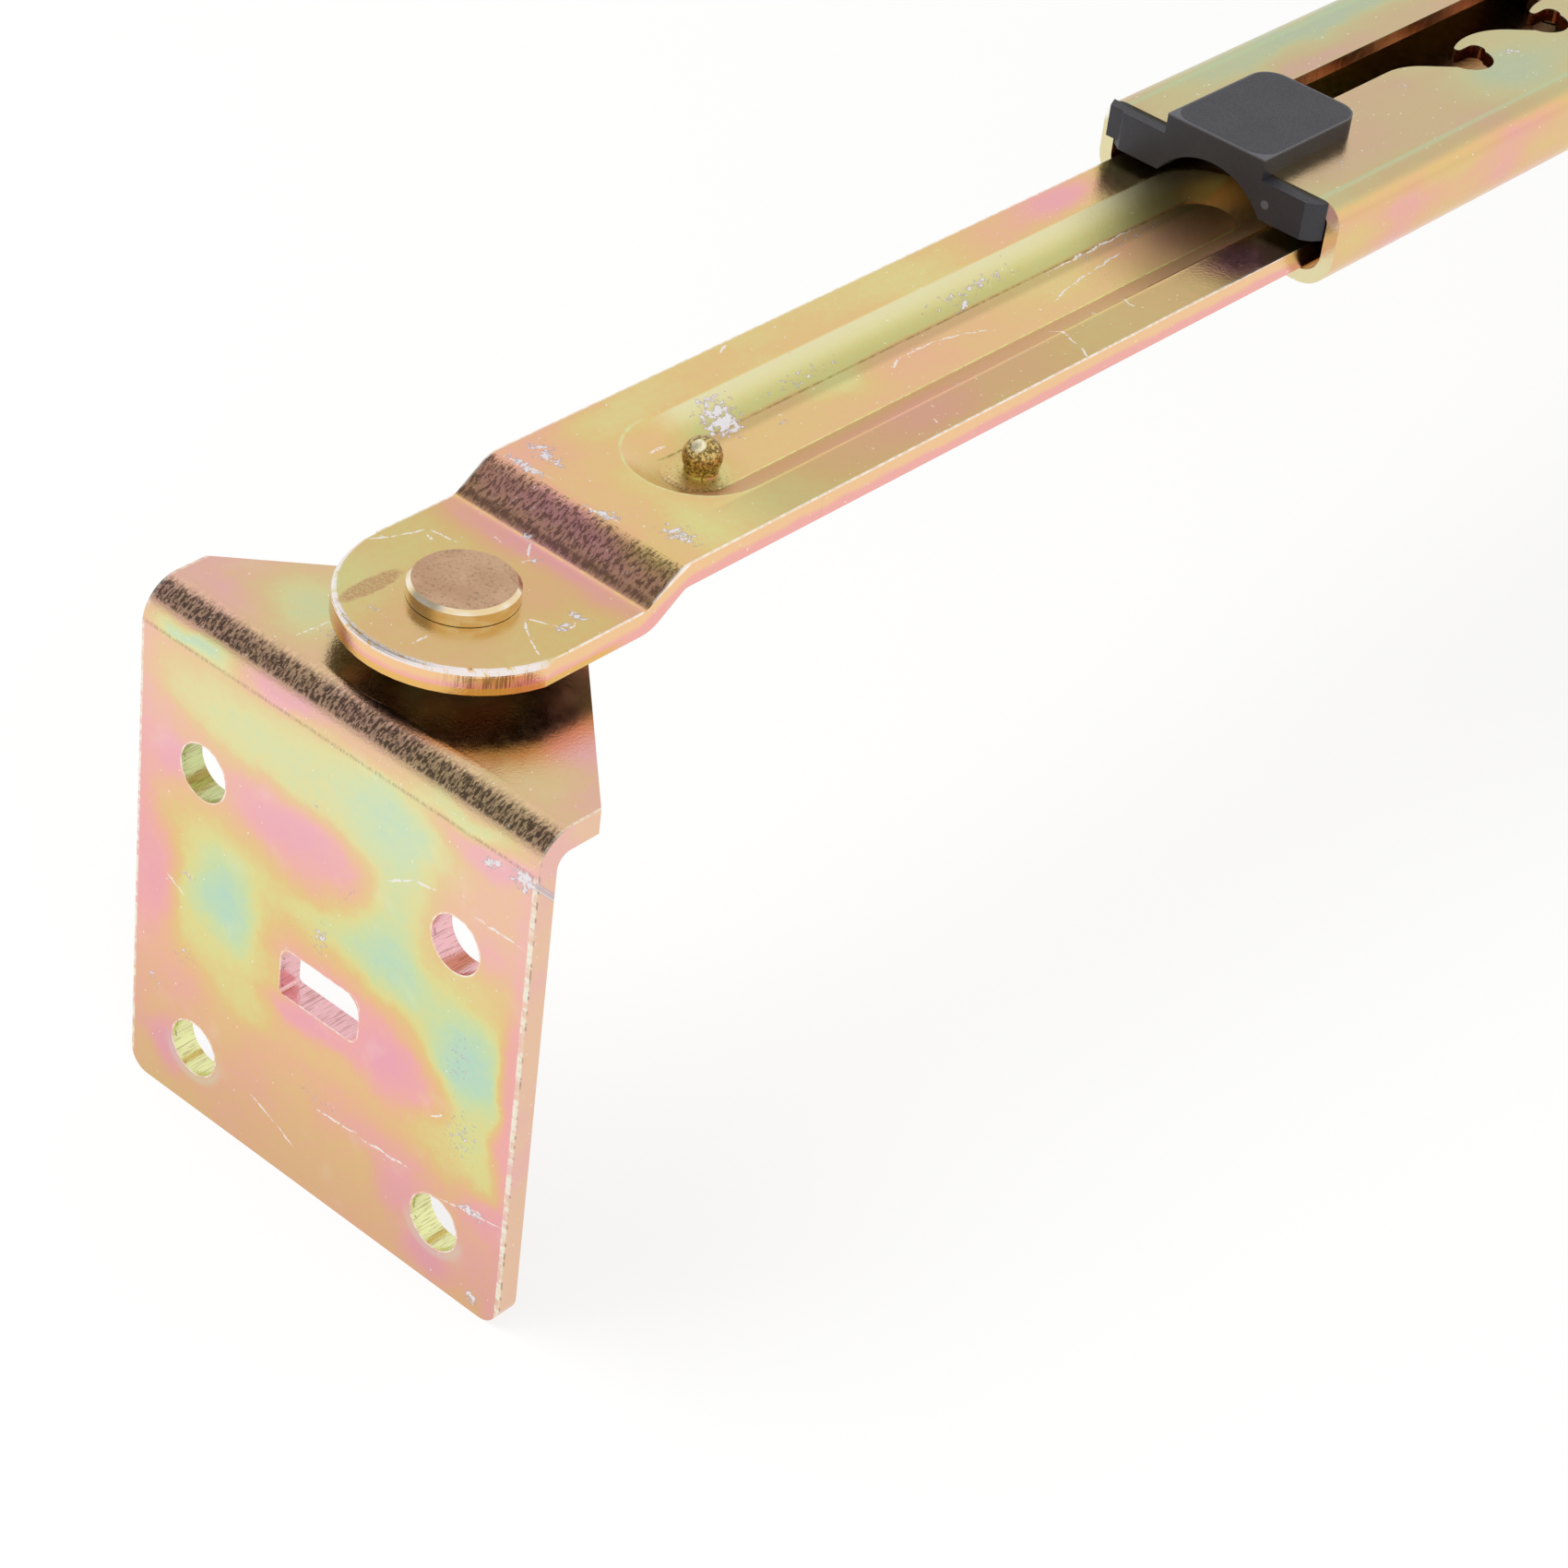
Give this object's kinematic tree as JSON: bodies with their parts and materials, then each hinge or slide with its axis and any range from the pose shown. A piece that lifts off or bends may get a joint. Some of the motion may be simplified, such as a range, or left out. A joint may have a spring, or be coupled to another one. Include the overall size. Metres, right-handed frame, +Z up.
{
  "type": "adjustable angle hinge",
  "caption": "Telescopic ratchet stay: pressed steel arm sliding in a notched rail with a swinging pawl, on riveted folded brackets with screw holes.",
  "frame": {"origin": "centre of the front plate's four screw holes, on the plate's outer face", "axes": "+Y along the arm towards the rail's rear end, +Z up towards the flange, +X across to the notched side of the slot"},
  "size_m": [0.049, 0.3195, 0.0707],
  "materials": {
    "plated_bracket": "iridescent yellow chromate over zinc",
    "plated_arm": "iridescent yellow chromate over zinc",
    "plated_rail": "iridescent yellow chromate over zinc",
    "plated_small": "yellow chromate over zinc",
    "rivet_metal": "matt copper brown",
    "bright_steel": "bare pressed steel",
    "spring_steel": "drawn wire",
    "moulded_plastic": "satin charcoal moulding"
  },
  "bodies": {
    "front_fixing": {"front_bracket": "plated_bracket", "front_washer": "plated_small", "front_rivet": "rivet_metal"},
    "arm": {"sliding_arm": "plated_arm", "pawl_rivet": "rivet_metal", "click_spring": "spring_steel", "inner_slider": "moulded_plastic"},
    "pawl": {"latch_pawl": "bright_steel", "latch_pin": "bright_steel"},
    "rail_unit": {"rail": "plated_rail", "end_guide": "moulded_plastic"},
    "rear_fixing": {"rear_washer": "plated_small", "rear_rivet": "rivet_metal", "rear_bracket": "plated_bracket"}
  },
  "joints": [
    {"name": "front_pivot", "type": "hinge", "parent": "front_fixing", "child": "arm", "pos_m": [0, 0.0149, 0.0363], "axis": [0, 0, 1], "continuous": true},
    {"name": "telescope", "type": "slide", "parent": "arm", "child": "rail_unit", "axis": [0, 1, 0], "range_m": [-0.0435, 0.029]},
    {"name": "pawl_swing", "type": "hinge", "parent": "arm", "child": "pawl", "pos_m": [0.00042, 0.20882, 0.0412], "axis": [0, 0, 1], "range_deg": [0, 16.82], "deforming": ["click_spring"]},
    {"name": "rear_pivot", "type": "hinge", "parent": "rail_unit", "child": "rear_fixing", "pos_m": [0, 0.30463, 0.0356], "axis": [0, 0, 1], "continuous": true}
  ]
}
